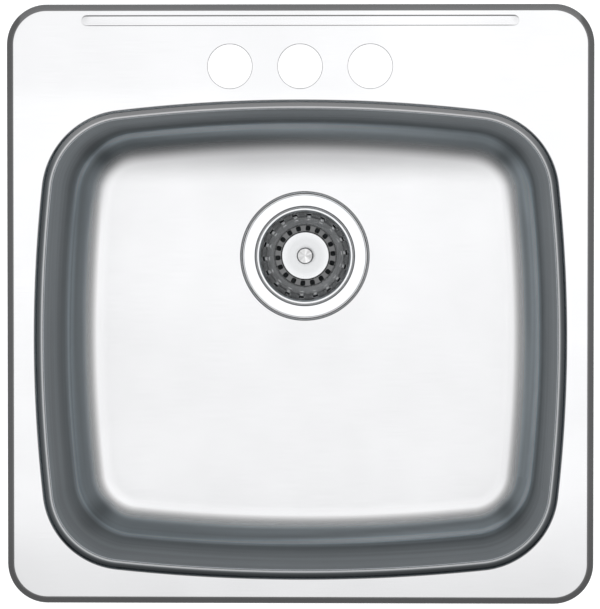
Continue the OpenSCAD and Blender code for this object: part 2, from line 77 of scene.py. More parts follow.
SIDE_MARGIN = 23.3 * MM
FRONT_MARGIN = 20.95 * MM
REAR_LEDGE = 82.95 * MM
HALF_W = RIM_W / 2 - SIDE_MARGIN
HALF_D = (RIM_D - REAR_LEDGE - FRONT_MARGIN) / 2
BOWL_Y = RIM_D / 2 - REAR_LEDGE - HALF_D
SIDE_ARC_R, REAR_ARC_R, FRONT_ARC_R = 1237 * MM, 1370 * MM, 1535 * MM
REAR_CORNER_R, FRONT_CORNER_R = 74.3 * MM, 72 * MM
WALL_DRAFT = math.radians(2.7)
LIP_W, LIP_H = 8 * MM, 9 * MM
FLOOR_FILLET_R = 29 * MM
CORNER_REACH = 74 * MM  # how far the bowl's round corners reach from its sides

DRAIN_Y = mounts["drain_outlet"]["pos_m"][1]
HOLE_R = mounts["faucet_holes"]["dims"]["hole_r_mm"] * MM
HOLE_STEP = 61 * MM
HOLE_Y = mounts["faucet_holes"]["pos_m"][1]
BEAD_L, BEAD_W, BEAD_H = 381 * MM, 9.4 * MM, 0.9 * MM
BEAD_MEAN_H = 0.6 * MM
BEAD_FADE = 7 * MM  # the bead sinks into the deck over this length at both ends
BEAD_Y = (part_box("rail_rear")[0].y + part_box("rail_rear")[1].y) / 2
RECESS_DEPTH = 2.2 * MM
FLANGE_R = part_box("strainer_body")[1].x
DRAIN_HOLE_R = 44.45 * MM


# ---- Mesh helpers ----------------------------------------------------------------------

def make_object(name, bm, smooth_angle=35):
    """Turns a bmesh into a linked object, smooth except across edges sharper than an angle."""
    bmesh.ops.remove_doubles(bm, verts=bm.verts, dist=1e-6)
    bmesh.ops.recalc_face_normals(bm, faces=bm.faces)
    mesh = bpy.data.meshes.new(name)
    bm.to_mesh(mesh)
    bm.free()
    obj = bpy.data.objects.new(name, mesh)
    bpy.context.scene.collection.objects.link(obj)
    mesh.shade_smooth()
    mesh.set_sharp_from_angle(angle=math.radians(smooth_angle))
    return obj


def apply_modifier(obj, kind, **settings):
    """Adds a modifier, applies it and leaves only its result."""
    modifier = obj.modifiers.new(kind.lower(), kind)
    for key, value in settings.items():
        setattr(modifier, key, value)
    graph = bpy.context.evaluated_depsgraph_get()
    mesh = bpy.data.meshes.new_from_object(obj.evaluated_get(graph))
    obj.modifiers.clear()
    obj.data = mesh
    return obj


def rounded(corners, steps=6):
    """A path of (x, y, radius) corners as points, each corner rounded by its radius."""
    points = []
    for i, (x, y, r) in enumerate(corners):
        here = Vector((x, y))
        if r == 0 or i in (0, len(corners) - 1):
            points.append(here)
            continue
        before = (Vector(corners[i - 1][:2]) - here).normalized()
        after = (Vector(corners[i + 1][:2]) - here).normalized()
        half = before.angle(after) / 2
        reach = r / math.tan(half)
        centre = here + (before + after).normalized() * (r / math.sin(half))
        start, end = here + before * reach - centre, here + after * reach - centre
        sweep = start.angle_signed(end)
        for k in range(steps + 1):
            a = -sweep * k / steps
            turned = Vector((start.x * math.cos(a) - start.y * math.sin(a),
                             start.x * math.sin(a) + start.y * math.cos(a)))
            points.append(centre + turned)
    return points


def loft(bm, loops, uv=None):
    """Joins closed loops of equal length with quads. uv holds a (u list, v) pair for each loop."""
    layer = bm.loops.layers.uv.verify() if uv else None
    rings = [[bm.verts.new(p) for p in loop] for loop in loops]
    count = len(loops[0])
    for i in range(len(rings) - 1):
        for j in range(count):
            k = (j + 1) % count
            face = bm.faces.new((rings[i][j], rings[i][k], rings[i + 1][k], rings[i + 1][j]))
            if uv:
                (u0, v0), (u1, v1) = uv[i], uv[i + 1]
                for corner, value in zip(face.loops, ((u0[j], v0), (u0[j + 1], v0),
                                                      (u1[j + 1], v1), (u1[j], v1))):
                    corner[layer].uv = value
    return rings


def closed_path(corners, steps):
    """A closed profile with rounded corners, which starts in the middle of its last side."""
    first, last = corners[0], corners[-1]
    middle = ((first[0] + last[0]) / 2, (first[1] + last[1]) / 2, 0)
    return rounded([middle] + list(corners) + [middle], steps)


# ---- Outlines --------------------------------------------------------------------------

def corner_centre(side_r, end_r, r):
    """Centre of a corner arc that touches a side arc and an end arc, about the bowl's middle."""
    side, end = Vector((HALF_W - side_r, 0)), Vector((0, HALF_D - end_r))
    apart = (end - side).length
    u = (end - side) / apart
    along = ((side_r - r) ** 2 - (end_r - r) ** 2 + apart ** 2) / (2 * apart)
    across = math.sqrt((side_r - r) ** 2 - along ** 2)
    return side + u * along + Vector((-u.y, u.x)) * across


def bowl_arcs():
    """The bowl's outline as arcs (centre, radius, from angle, to angle, steps), anticlockwise."""
    rear = corner_centre(SIDE_ARC_R, REAR_ARC_R, REAR_CORNER_R)
    front = corner_centre(SIDE_ARC_R, FRONT_ARC_R, FRONT_CORNER_R)
    side_c = Vector((HALF_W - SIDE_ARC_R, 0))
    rear_c, front_c = Vector((0, HALF_D - REAR_ARC_R)), Vector((0, HALF_D - FRONT_ARC_R))

    def angle(centre, point):
        d = point - centre
        return math.atan2(d.y, d.x)

    sr, er = angle(side_c, rear), angle(rear_c, rear)
    sf, ef = angle(side_c, front), angle(front_c, front)
    mirror_x, mirror_y = Vector((-1, 1)), Vector((1, -1))
    half = math.pi
    return [(side_c, SIDE_ARC_R, -sf, sr, 40),
            (rear, REAR_CORNER_R, sr, er, 40),
            (rear_c, REAR_ARC_R, er, half - er, 48),
            (rear * mirror_x, REAR_CORNER_R, half - er, half - sr, 40),
            (side_c * mirror_x, SIDE_ARC_R, half - sr, half + sf, 40),
            (-front, FRONT_CORNER_R, half + sf, half + ef, 40),
            (front_c * mirror_y, FRONT_ARC_R, half + ef, TURN - ef, 48),
            (front * mirror_y, FRONT_CORNER_R, TURN - ef, TURN - sf, 40)]


ARCS = bowl_arcs()


def bowl_loop(inset, z):
    """Points round the bowl's outline, moved inwards by an inset."""
    points = []
    for centre, radius, start, end, steps in ARCS:
        for k in range(steps):
            a = start + (end - start) * k / steps
            points.append((centre.x + (radius - inset) * math.cos(a),
                           BOWL_Y + centre.y + (radius - inset) * math.sin(a), z))
    return points


def rim_loop(inset, z):
    """Points round the rim, moved inwards by an inset."""
    points = []
    r = RIM_CORNER_R - inset
    for k, (sx, sy) in enumerate(((1, 1), (-1, 1), (-1, -1), (1, -1))):
        cx, cy = sx * (RIM_W / 2 - RIM_CORNER_R), sy * (RIM_D / 2 - RIM_CORNER_R)
        for i in range(17):
            a = math.pi / 2 * (k + i / 16)
            points.append((cx + r * math.cos(a), cy + r * math.sin(a), z))
    return points


def circle_loop(x, y, r, z, count=96):
    """Points round an upright circle's plan."""
    return [(x + r * math.cos(TURN * k / count), y + r * math.sin(TURN * k / count), z)
            for k in range(count)]


def bead_loop(step, rise):
    """Points round the pressed bead: step and rise go from 0 at its foot to 1 at its top.

    Its rear edge is high and crisp, its front edge is low, and it fades out at both ends.
    """
    reach = (BEAD_L - BEAD_W) / 2
    joins = [reach - back * MM for back in (14, 7, 3)]
    turns = [math.pi * (i / 12 - 0.5) for i in range(13)]
    points = []
    for side in (1, -1):
        for a in turns:
            rear = side * math.sin(a) * 0.5 + 0.5
            edge_w = (0.75 + 0.35 * rear) * MM
            half_w = BEAD_W / 2 - step * edge_w
            x = reach + half_w * math.cos(a)
            y = side * half_w * math.sin(a)
            if a == turns[0]:
                points += [(side * at, y, 1) for at in joins]
            points.append((side * x, y, max(0, min(1, (BEAD_L / 2 - x) / BEAD_FADE))))
            if a == turns[-1]:
                points += [(side * at, y, 1) for at in reversed(joins)]
    loop = []
    for x, y, fade in points:
        height = BEAD_MEAN_H + (BEAD_H - BEAD_MEAN_H) * (y / BEAD_W * 2)
        loop.append((x, BEAD_Y + y, DECK_Z + rise * fade * height))
    return loop


def loop_lengths(loop):
    """Running length at each point of a closed loop, and its full length at the end."""
    lengths = [0]
    for a, b in zip(loop, loop[1:] + loop[:1]):
        lengths.append(lengths[-1] + math.dist(a, b))
    return lengths


# ---- Sink shell ------------------------------------------------------------------------

def wall_path():
    """The bowl's wall from the deck inwards, as (inset, height above the deck's top)."""
    depth = DECK_Z - FLOOR_Z
    start_z = depth - FLOOR_FILLET_R * (1 - math.sin(WALL_DRAFT))
    start_x = LIP_W + (start_z - LIP_H) * math.tan(WALL_DRAFT)
    floor_x = start_x + FLOOR_FILLET_R * math.cos(WALL_DRAFT)
    corner_x = LIP_W + (depth - LIP_H) * math.tan(WALL_DRAFT)
    lip = rounded([(-1.5 * MM, 0, 0), (0.5 * MM, 0, 1.3 * MM), (2.3 * MM, -3.5 * MM, 0.8 * MM),
                   (5.8 * MM, -5.2 * MM, 1.2 * MM), (7.7 * MM, -5.7 * MM, 1 * MM),
                   (LIP_W, -LIP_H, 0)], 8)
    low = rounded([(LIP_W, -LIP_H, 0), (corner_x, -depth, FLOOR_FILLET_R),
                   (floor_x + 3 * MM, -depth, 0)], 24)
    wall = [lip[-1].lerp(low[1], k / 24) for k in range(1, 24)]
    return lip + wall + low[1:]


def sheet_sweep(bm, loop_at, path):
    """Sweeps a path of (inset, z) points round an outline, with brush coordinates."""
    loops = [loop_at(p[0], p[1]) for p in path]
    lengths = loop_lengths(loops[0])
    uv, along = [], 0
    for i, p in enumerate(path):
        if i:
            along += math.dist(p, path[i - 1])
        uv.append((lengths, along))
    return loft(bm, loops, uv)


def fill_flat(bm, rings):
    """Fills the flat region between closed rings of vertices, with plan brush coordinates."""
    layer = bm.loops.layers.uv.verify()
    edges = []
    for ring in rings:
        for a, b in zip(ring, ring[1:] + ring[:1]):
            edges.append(bm.edges.get((a, b)) or bm.edges.new((a, b)))
    made = bmesh.ops.triangle_fill(bm, use_beauty=True, edges=edges)["geom"]
    for face in made:
        if isinstance(face, bmesh.types.BMFace):
            for corner in face.loops:
                corner[layer].uv = corner.vert.co[:2]


def build_shell():
    """The drawn sheet: rim, deck, bead, faucet holes, bowl and drain recess."""
    bm = bmesh.new()
    rim = rounded([(0, RIM_FOOT_Z, 0), (0, RIM_SIDE_Z, 0.9 * MM), (RIM_BEVEL_W, DECK_Z, 0.5 * MM),
                   (RIM_BEVEL_W + 1.5 * MM, DECK_Z, 0)], 5)
    rim_rings = sheet_sweep(bm, rim_loop, rim)
    wall = [(p[0], DECK_Z + p[1]) for p in wall_path()]
    wall_rings = sheet_sweep(bm, bowl_loop, wall)

    bead = rounded([(-1, 0, 0), (0, 0, 0.35), (1, 1, 0.35), (2.5, 1, 0)], 4)
    bead_rings = loft(bm, [bead_loop(p[0], p[1]) for p in bead])
    fill_flat(bm, [bead_rings[-1]])

    edge = rounded([(HOLE_R + 1.2 * MM, DECK_Z, 0), (HOLE_R, DECK_Z, 0.75 * MM),
                    (HOLE_R, DECK_Z - 0.85 * MM, 0)], 5)
    holes = []
    for x in (-HOLE_STEP, 0, HOLE_STEP):
        holes.append(loft(bm, [circle_loop(x, HOLE_Y, p[0], p[1]) for p in edge])[0])
    fill_flat(bm, [rim_rings[-1], wall_rings[0], bead_rings[0]] + holes)

    recess = rounded([(FLANGE_R + 5.5 * MM, FLOOR_Z, 0), (FLANGE_R + 3.2 * MM, FLOOR_Z, 1 * MM),
                      (FLANGE_R + 0.7 * MM, FLOOR_Z - RECESS_DEPTH, 0.5 * MM),
                      (DRAIN_HOLE_R, FLOOR_Z - RECESS_DEPTH, 0)], 6)
    recess_rings = loft(bm, [circle_loop(0, DRAIN_Y, p[0], p[1], 128) for p in recess])
    fill_flat(bm, [wall_rings[-1], recess_rings[0]])

    obj = make_object("shell", bm, 28)
    obj.data.materials.append(shell_steel())
    obj.data.materials.append(plain_metal("shell_underside", (0.44, 0.45, 0.46), 0.34, 700, 0.08))
    apply_modifier(obj, "SOLIDIFY", thickness=SHEET, offset=-1, use_even_offset=True,
                   material_offset=1, material_offset_rim=1)
    return obj


# ---- Materials -------------------------------------------------------------------------

def new_material(name, color, metallic, roughness):
    """A node material, with its tree and its shader."""
    material = bpy.data.materials.new(name)
    material.use_nodes = True
    shader = material.node_tree.nodes["Principled BSDF"]
    shader.inputs["Base Color"].default_value = (*color, 1)
    shader.inputs["Metallic"].default_value = metallic
    shader.inputs["Roughness"].default_value = roughness
    return material, material.node_tree, shader


def add_node(tree, kind, **values):
    """Adds a node. A value goes to the input of its name, or else to the node's own setting."""
    node = tree.nodes.new(kind)
    for key, value in values.items():
        if key in node.inputs:
            node.inputs[key].default_value = value
        else:
            setattr(node, key, value)
    return node


def noise(tree, vector, scale, detail=3.0):
    """A noise value at each point of a vector field."""
    node = add_node(tree, "ShaderNodeTexNoise", Scale=scale, Detail=detail)
    tree.links.new(vector, node.inputs["Vector"])
    return node.outputs["Fac"]


def stretched(tree, vector, scale):
    """A vector field scaled on each axis, which draws a pattern out into lines."""
    node = add_node(tree, "ShaderNodeMapping", Scale=scale)
    tree.links.new(vector, node.inputs["Vector"])
    return node.outputs["Vector"]


def spread(tree, value, low, high):
    """Maps a noise value, most of which lies from 0.3 to 0.7, to a range from low to high."""
    node = add_node(tree, "ShaderNodeMapRange")
    node.inputs["From Min"].default_value = 0.3
    node.inputs["From Max"].default_value = 0.7
    node.inputs["To Min"].default_value = low
    node.inputs["To Max"].default_value = high
    tree.links.new(value, node.inputs["Value"])
    return node.outputs["Result"]


def add_bump(tree, shader, height, strength, distance):
    """Bumps the surface by a height, on top of any bump that it has."""
    node = add_node(tree, "ShaderNodeBump", Strength=strength, Distance=distance)
    tree.links.new(height, node.inputs["Height"])
    if shader.inputs["Normal"].is_linked:
        tree.links.new(shader.inputs["Normal"].links[0].from_socket, node.inputs["Normal"])
    tree.links.new(node.outputs["Normal"], shader.inputs["Normal"])


def ramp_between(tree, value, start, end, low, high, kind="SMOOTHSTEP"):
    """Maps a value smoothly from one range to another, and clamps it there."""
    node = add_node(tree, "ShaderNodeMapRange", interpolation_type=kind)
    for key, number in (("From Min", start), ("From Max", end), ("To Min", low), ("To Max", high)):
        node.inputs[key].default_value = number
    tree.links.new(value, node.inputs["Value"])
    return node.outputs["Result"]


def combine(tree, operation, a, b):
    """Joins two values, or a value and a number, by one arithmetic operation."""
    node = add_node(tree, "ShaderNodeMath", operation=operation)
    for socket, value in zip(node.inputs, (a, b)):
        if isinstance(value, (int, float)):
            socket.default_value = value
        else:
            tree.links.new(value, socket)
    return node.outputs["Value"]


def tinted(tree, shader, tone, color):
    """Multiplies a colour by a value and uses it as the base colour."""
    mix = add_node(tree, "ShaderNodeMix", data_type="RGBA", blend_type="MULTIPLY")
    mix.inputs[0].default_value = 1
    if isinstance(color, tuple):
        mix.inputs[6].default_value = (*color, 1)
    else:
        tree.links.new(color, mix.inputs[6])
    tree.links.new(tone, mix.inputs[7])
    tree.links.new(mix.outputs[2], shader.inputs["Base Color"])


def shell_steel():
    """Brushed steel sheet, bright on the deck and the floor, with painted shade on the walls, lip and rim,
    and painted highlights low on the walls.

    Each mask goes from 0 to 1. x, y and z are places on the sheet, run is the way down the wall from the lip,
    and level is run made less towards the right and the rear, where the painted highlight streak sinks.
    """
    material, tree, shader = new_material("shell_steel", (0.8, 0.81, 0.82), 1, 0.2)

    def join(operation, a, b=0):
        return combine(tree, operation, a, b)

    def along(value, start, end, low=0, high=1):
        return ramp_between(tree, value, start * MM, end * MM, low, high)

    def times(*values):
        result = values[0]
        for value in values[1:]:
            result = join("MULTIPLY", result, value)
        return result

    def dimmed(mask, amount):
        return join("SUBTRACT", 1, times(mask, amount))

    brush = add_node(tree, "ShaderNodeUVMap").outputs["UV"]
    where = add_node(tree, "ShaderNodeTexCoord").outputs["Object"]
    split = add_node(tree, "ShaderNodeSeparateXYZ")
    tree.links.new(where, split.inputs["Vector"])
    x, y, z = (split.outputs[axis] for axis in "XYZ")
    brush_split = add_node(tree, "ShaderNodeSeparateXYZ")
    tree.links.new(brush, brush_split.inputs["Vector"])
    path = wall_path()
    lip_run = sum(math.dist(a, b) for a, b in zip(path, path[1:]) if b[1] > -LIP_H - 1e-6)
    run = join("SUBTRACT", brush_split.outputs["Y"], lip_run)
    level = join("SUBTRACT", run, along(x, -230, 230, 0, 28 * MM))
    level = join("SUBTRACT", level, along(y, 60, 160, 0, 22 * MM))
    across = join("ABSOLUTE", x)

    fine = noise(tree, stretched(tree, brush, (30, 2600, 1)), 1, 2)
    streak = noise(tree, stretched(tree, brush, (2.2, 60, 1)), 1, 2)
    cloud = spread(tree, noise(tree, where, 13, 2), 0.97, 1.015)
    add_bump(tree, shader, fine, 0.1, 0.02 * MM)

    # The bowl's wall from top to bottom, with its painted shade and painted highlights.
    # Painted shade: the wall's colour is darkened to stand in for its dark reflections.
    painted_wall_shade = times(along(z, -1.5, -6), along(z, -176, -130))
    wall = times(along(z, 0, -8), along(z, -198, -190))
    fillet = times(along(z, -160, -176), along(z, -198, -192))
    # low marks the bowl's floor and fillet, which get a little painted shade.
    low = along(z, -180, -194)
    # Painted shade on the floor and fillet along the rear wall.
    rear = times(low, along(y, 104, 140))
    band = join("ADD", 1, times(wall, ramp_between(tree, streak, 0.3, 0.7, -0.16, 0.18)))
    # Painted highlight: a bright streak across the lower wall.
    glint = times(wall, along(level, 122, 145), along(level, 168, 149), 0.75)
    # Painted shade: a darker band on the wall above the painted highlight.
    shade = times(wall, along(level, 66, 94), along(level, 122, 102))
    # Painted shade: a darker ring at the foot of the wall.
    foot = times(wall, along(run, 168, 180), along(run, 195, 188))
    front = along(y, 60, 130, 1, 0.1)
    # Painted highlight: the fillet at the wall's foot is lighter towards the front.
    rise = times(low, along(run, 186, 196), along(run, 209, 200), front, 0.62)

    # The bowl's corners, where the reflections of two walls meet, get painted shade.
    side = join("SUBTRACT", across, HALF_W - CORNER_REACH)
    end = join("SUBTRACT", join("ABSOLUTE", join("SUBTRACT", y, BOWL_Y)), HALF_D - CORNER_REACH)
    longer = join("MAXIMUM", join("MAXIMUM", side, end), 1 * MM)
    lean = join("DIVIDE", join("MINIMUM", side, end), longer)
    painted_corner_shade = times(ramp_between(tree, lean, 0.3, 0.95, 0, 1), along(z, -40, -100),
                  along(z, -199, -190))

    # The deck, the lip round the bowl and the rim outside them, with their painted shade.
    bowl_only = times(along(across, 246, 242), along(y, -250, -246))
    # Painted shade: the lip round the bowl is darkened, less at the rear and more at the front.
    lip = times(along(z, 4.2, 2.5), along(z, -1.5, 0.5), along(y, 110, 165, 1, 0.05), bowl_only)
    near_lip = times(lip, along(y, -150, -235))
    # Painted shade on the rim's outer bevel.
    rim = times(along(z, 4.4, 3.6), join("SUBTRACT", 1, bowl_only))
    # Painted shade: the front of the deck and, a little, the left of the rear ledge are darker.
    deck = times(along(z, 0, 3), along(y, -150, -258))
    ledge = times(along(z, 0, 3), along(y, 172, 195), along(x, 90, 0))

    # Painted light: the dimmed masks darken the colour where shade falls on the walls, rim, lip, corners,
    # bowl floor, front deck, rear ledge and towards the front, and glint and rise brighten it as painted
    # highlights; cloud and band are random unevenness.
    tone = times(dimmed(painted_wall_shade, 0.68), dimmed(rim, 0.36), dimmed(lip, 0.7), dimmed(near_lip, 0.45),
                 dimmed(rear, 0.45), dimmed(shade, 0.2), dimmed(foot, 0.25), dimmed(painted_corner_shade, 0.4),
                 join("ADD", 1, glint), join("ADD", 1, rise), dimmed(low, 0.07),
                 dimmed(deck, 0.17), dimmed(ledge, 0.05), dimmed(along(y, 30, -60), 0.04), cloud, band)
    cool = add_node(tree, "ShaderNodeMix", data_type="RGBA")
    cool.inputs[6].default_value = (0.8, 0.803, 0.807, 1)
    cool.inputs[7].default_value = (0.71, 0.78, 0.82, 1)
    tree.links.new(join("MAXIMUM", wall, lip), cool.inputs[0])
    tinted(tree, shader, tone, cool.outputs[2])
    rough = join("ADD", spread(tree, fine, 0.14, 0.2), times(wall, 0.22))
    tree.links.new(rough, shader.inputs["Roughness"])
    tree.links.new(times(dimmed(wall, 0.5), dimmed(fillet, 0.3)), shader.inputs["Metallic"])
    shader.inputs["Specular IOR Level"].default_value = 0.2
    shader.inputs["Specular Tint"].default_value = (0.82, 0.88, 0.92, 1)
    return material


def turned_metal(name, color, roughness, tones=((0, 1), (1, 1)), pinwheel=0):
    """Metal turned about the drain's axis, with painted shade and highlight set by distance from that axis.

    tones holds (distance in mm, tone) pairs, below 1 for painted shade and above 1 for painted highlight, and
    pinwheel is how dark the spokes of a painted pinwheel reflection get.
    """
    material, tree, shader = new_material(name, color, 1, roughness)
    where = add_node(tree, "ShaderNodeTexCoord").outputs["Object"]
    shift = add_node(tree, "ShaderNodeVectorMath", operation="SUBTRACT")
    shift.inputs[1].default_value = (0, DRAIN_Y, 0)
    tree.links.new(where, shift.inputs[0])
    centred = shift.outputs["Vector"]
    rings = add_node(tree, "ShaderNodeTexWave", wave_type="RINGS", rings_direction="Z")
    rings.inputs["Scale"].default_value = 900
    rings.inputs["Distortion"].default_value = 1.5
    rings.inputs["Detail"].default_value = 3
    tree.links.new(centred, rings.inputs["Vector"])
    tree.links.new(spread(tree, rings.outputs["Fac"], roughness * 0.8, roughness * 1.2),
                   shader.inputs["Roughness"])
    add_bump(tree, shader, rings.outputs["Fac"], 0.1, 0.01 * MM)
    flat = add_node(tree, "ShaderNodeVectorMath", operation="MULTIPLY")
    flat.inputs[1].default_value = (1, 1, 0)
    tree.links.new(centred, flat.inputs[0])
    length = add_node(tree, "ShaderNodeVectorMath", operation="LENGTH")
    tree.links.new(flat.outputs["Vector"], length.inputs[0])
    # The tones paint shade and highlight in rings about the axis.
    tone = None
    for (r0, t0), (r1, t1) in zip(tones, tones[1:]):
        step = ramp_between(tree, length.outputs["Value"], r0 * MM, r1 * MM, t0, t1)
        if tone is None:
            tone = step
        else:
            tone = combine(tree, "MULTIPLY", tone, combine(tree, "DIVIDE", step, t0))
    # Painted reflection: dark spokes that stand for a turned top's pinwheel highlight.
    if pinwheel:
        gradient = add_node(tree, "ShaderNodeTexGradient", gradient_type="RADIAL")
        tree.links.new(centred, gradient.inputs["Vector"])
        spokes = noise(tree, stretched(tree, gradient.outputs["Color"], (5, 0, 0)), 1, 3)
        tone = combine(tree, "MULTIPLY", tone, spread(tree, spokes, 1 - pinwheel, 1))
    tinted(tree, shader, tone, color)
    return material


def plain_metal(name, color, roughness, grain=400, bump=0.05):
    """Metal with a little unevenness in its colour and gloss."""
    material, tree, shader = new_material(name, color, 1, roughness)
    where = add_node(tree, "ShaderNodeTexCoord").outputs["Object"]
    cloud = noise(tree, where, grain)
    tree.links.new(spread(tree, cloud, roughness * 0.8, roughness * 1.25), shader.inputs["Roughness"])
    tinted(tree, shader, spread(tree, noise(tree, where, grain / 6), 0.88, 1.06), color)
    add_bump(tree, shader, noise(tree, where, grain * 3), bump, 0.05 * MM)
    return material


def soft_material(name, color, roughness, grain=900, bump=0.3, depth=0.1):
    """Rubber, foam, fibre or plastic with a fine grain."""
    material, tree, shader = new_material(name, color, 0, roughness)
    where = add_node(tree, "ShaderNodeTexCoord").outputs["Object"]
    cloud = noise(tree, where, grain)
    tinted(tree, shader, spread(tree, cloud, 0.75, 1.25), color)
    tree.links.new(spread(tree, cloud, roughness * 0.85, min(1, roughness * 1.15)),
                   shader.inputs["Roughness"])
    add_bump(tree, shader, cloud, bump, depth * MM)
    return material


# ---- Scene -----------------------------------------------------------------------------

CAMERA_FROM_RIM = Vector((62 * MM, 73 * MM, 2.8))
VIEW_W = 522 * MM  # width of the view at the rim's height
SKY = ((0, 0.36), (0.2, 0.3), (0.38, 0.2), (0.58, 0.22),
       (0.76, 0.42), (0.9, 0.8), (0.98, 1.2), (1, 1.35))


def add_camera():
    """A long lens high above the rim, a little to the right and rear of its middle."""
    target = Vector((0, 0, DECK_Z))
    place = target + CAMERA_FROM_RIM
    back = (place - target).normalized()
    right = Vector((0, 1, 0)).cross(back).normalized()
    up = back.cross(right)
    data = bpy.data.cameras.new("camera")
    data.sensor_fit = "HORIZONTAL"
    data.sensor_width = 36
    data.lens = data.sensor_width * (place - target).length / VIEW_W
    data.clip_end = 20
    camera = bpy.data.objects.new("camera", data)
    turn = Matrix((right, up, back)).transposed().to_4x4()
    camera.matrix_world = Matrix.Translation(place) @ turn
    bpy.context.scene.collection.objects.link(camera)
    bpy.context.scene.camera = camera


def add_surround():
    """An even studio dome, brightest overhead and falling away to a dim horizon."""
    world = bpy.data.worlds.new("surround")
    world.use_nodes = True
    tree = world.node_tree
    where = add_node(tree, "ShaderNodeTexCoord").outputs["Generated"]
    split = add_node(tree, "ShaderNodeSeparateXYZ")
    tree.links.new(where, split.inputs["Vector"])
    ramp = add_node(tree, "ShaderNodeValToRGB")
    ramp.color_ramp.interpolation = "B_SPLINE"
    elements = ramp.color_ramp.elements
    for at, level in SKY:
        element = elements[0] if at == 0 else elements[-1] if at == 1 else elements.new(at)
        level /= SKY[-1][1]
        element.color = (level, level, level * 1.01, 1)
    tree.links.new(split.outputs["Z"], ramp.inputs["Fac"])
    tree.links.new(ramp.outputs["Color"], tree.nodes["Background"].inputs["Color"])
    tree.nodes["Background"].inputs["Strength"].default_value = SKY[-1][1]
    bpy.context.scene.world = world


def add_stage():
    """A plain pale floor below the sink, which glows a little, under the studio dome."""
    bm = bmesh.new()
    bmesh.ops.create_grid(bm, x_segments=1, y_segments=1, size=6)
    floor = make_object("floor", bm)
    floor.location.z = cad_box[0].z - 1 * MM
    material, tree, shader = new_material("pale_floor", (0.86, 0.86, 0.86), 0, 0.9)
    shader.inputs["Emission Color"].default_value = (1, 1, 1, 1)
    shader.inputs["Emission Strength"].default_value = 0.85
    floor.data.materials.append(material)
    add_surround()
    bpy.context.scene.view_settings.view_transform = "Standard"


# ---- Strainer and basket ---------------------------------------------------------------

CUP_R, CUP_DEPTH = 43.1 * MM, 40.7 * MM
MOUTH_R = 46.2 * MM  # inside of the flange, where the basket's rim lies
OUTLET_R, THREAD_R = 20.3 * MM, 23.6 * MM


def threaded(path, thread, segments):
    """Loops of a lathed path, with a helical thread cut inwards over a range of heights.

    thread is (lowest height, highest height, least radius, pitch, depth).
    """
    low, high, reach, pitch, depth = thread
    loops = []
    for r, z in path:
        loop = []
        for k in range(segments):
            cut = 0
            if low < z < high and r > reach:
                phase = (z / pitch - k / segments) % 1
                cut = depth * 2 * abs(phase - 0.5)
            a = TURN * k / segments
            loop.append(((r - cut) * math.cos(a), (r - cut) * math.sin(a), z))
        loops.append(loop)
    return loops


def dense(path, low, high, reach, step):
    """Adds points to the outer side of a path between two heights, one every step."""
    points = [path[0]]
    for p in path[1:]:
        q = points[-1]
        inside = min(p[0], q[0]) > reach and min(p[1], q[1]) < high and max(p[1], q[1]) > low
        if inside and abs(p[1] - q[1]) > step:
            count = math.ceil(abs(p[1] - q[1]) / step)
            for k in range(1, count):
                points.append((q[0] + (p[0] - q[0]) * k / count, q[1] + (p[1] - q[1]) * k / count))
        points.append((p[0], p[1]))
    return points


def screw_lathe(name, path, thread, centre, segments):
    """Lathes a closed path about an upright axis, with a thread."""
    low, high, reach, pitch = thread[:4]
    path = dense([(p[0], p[1]) for p in path], low, high, reach, pitch / 4)
    bm = bmesh.new()
    loops = [[(centre[0] + x, centre[1] + y, z) for x, y, z in loop]
             for loop in threaded(path, thread, segments)]
    loft(bm, loops)
    return make_object(name, bm, 40)


def build_strainer(outer, inner):
    """The strainer's flange, cup and threaded outlet in one turned sheet."""
    low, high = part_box("strainer_body")
    top, end = high.z, low.z
    seat = FLOOR_Z - RECESS_DEPTH
    under = seat + 1 * MM
    ledge = seat + 1.1 * MM
    floor = under - CUP_DEPTH
    corners = [(FLANGE_R, under + 0.3 * MM, 0.2 * MM), (FLANGE_R, top - 0.4 * MM, 0.2 * MM),
               (FLANGE_R - 0.5 * MM, top, 0.4 * MM), (MOUTH_R + 0.7 * MM, top, 0.5 * MM),
               (MOUTH_R, top - 0.5 * MM, 0.3 * MM), (MOUTH_R, ledge, 0.2 * MM),
               (CUP_R, ledge, 0.8 * MM), (CUP_R, floor, 3.5 * MM),
               (OUTLET_R, floor, 1.5 * MM), (OUTLET_R, end, 0.4 * MM),
               (THREAD_R, end, 0.5 * MM), (THREAD_R, floor - 4 * MM, 1 * MM),
               (26.6 * MM, floor - 1 * MM, 2 * MM), (CUP_R + 1 * MM, floor - 1 * MM, 3.5 * MM),
               (CUP_R + 1 * MM, seat + 0.1 * MM, 0.1 * MM), (47 * MM, seat + 0.1 * MM, 0.1 * MM),
               (47 * MM, under, 0.1 * MM), (FLANGE_R - 0.3 * MM, under, 0.1 * MM)]
    thread = (end + 0.6 * MM, floor - 5 * MM, 22 * MM, 1.6 * MM, 0.55 * MM)
    obj = screw_lathe("strainer", closed_path(corners, 6), thread, (0, DRAIN_Y), 180)
    obj.data.materials.append(outer)
    obj.data.materials.append(inner)
    # The cup's inside and the outlet take the second material, which is painted shade.
    for polygon in obj.data.polygons:
        x, y, z = polygon.center
        out = math.hypot(x, y - DRAIN_Y)
        in_outlet = out < OUTLET_R + 0.5 * MM
        in_cup = out < CUP_R + 0.3 * MM and z > floor - 0.2 * MM
        if in_outlet or in_cup:
            polygon.material_index = 1
    return obj


SLOTS = 18
SLOT_W, WALL_SLOT_W = 3.8 * MM, 4.7 * MM
SLOT_PHASE = math.radians(4.6)
SLOT_COLUMNS, GAP_COLUMNS = 10, 8
CHANNEL_DIP = 0.5 * MM
BASKET_SHEET = 0.8 * MM

